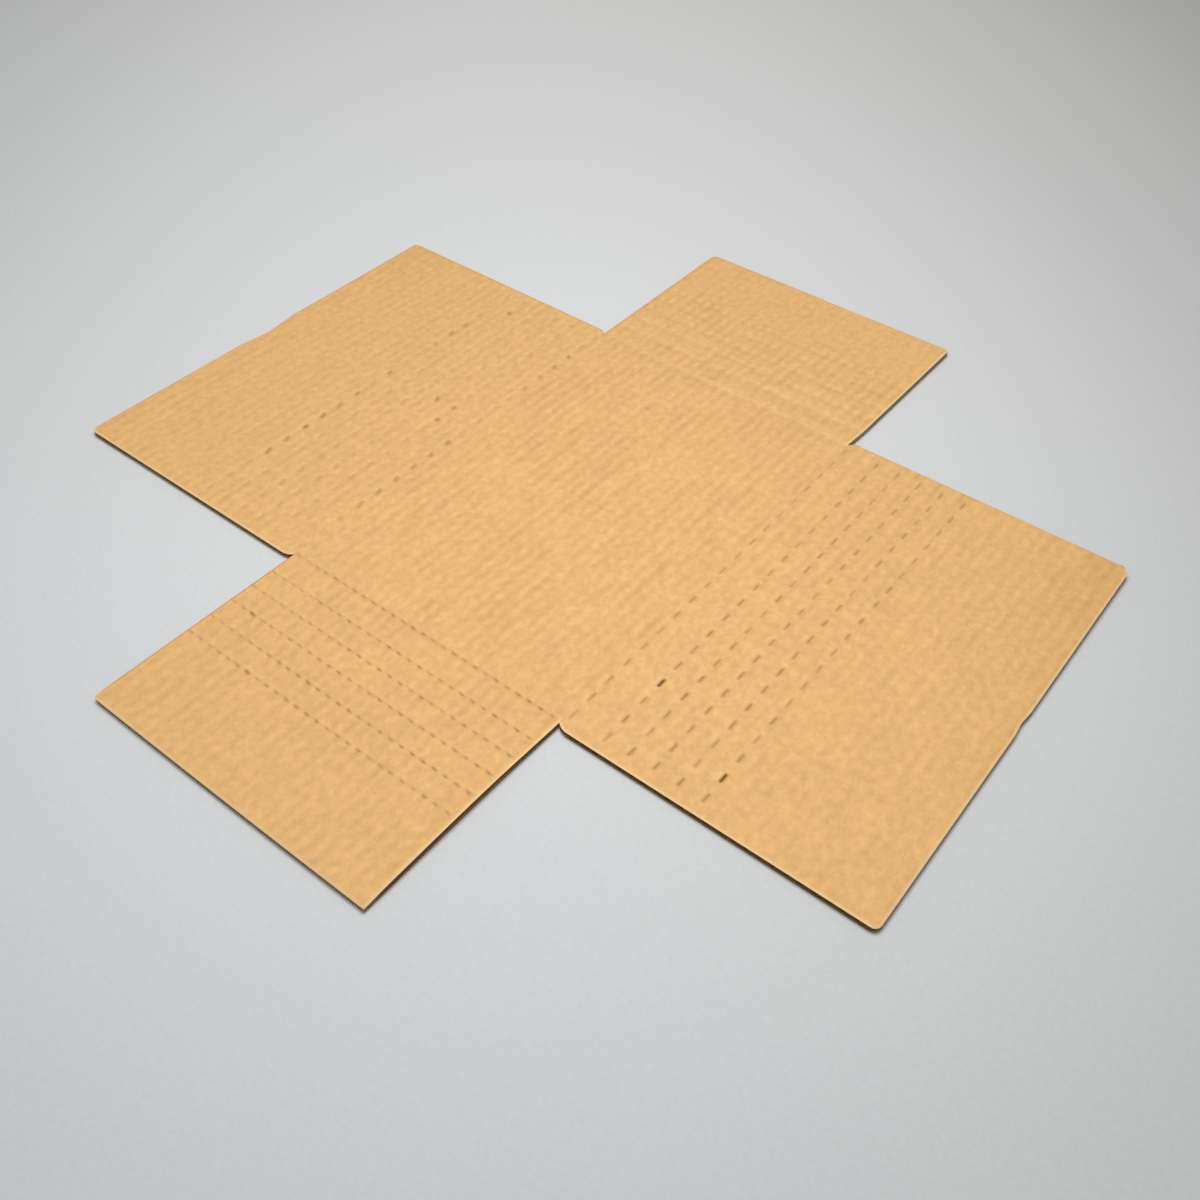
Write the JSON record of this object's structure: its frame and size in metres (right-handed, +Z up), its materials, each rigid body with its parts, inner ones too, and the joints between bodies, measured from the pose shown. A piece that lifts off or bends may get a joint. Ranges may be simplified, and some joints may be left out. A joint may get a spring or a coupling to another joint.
{
  "type": "flattened cardboard box",
  "caption": "Flattened wrap-around mailing box: a cross-shaped corrugated blank of a base panel, two wings and two flaps, with rows of perforated creases to fold at the height of its contents.",
  "frame": {"origin": "middle of the base panel, on the underside that lies on the floor", "axes": "+X runs from the left wing to the right wing, +Y from the front flap to the back flap and along the flutes, +Z up from the floor"},
  "size_m": [0.475, 0.4724, 0.003],
  "materials": {
    "kraft_board": "uncoated kraft liner"
  },
  "bodies": {
    "root": {"cross_blank": "kraft_board"}
  },
  "joints": []
}
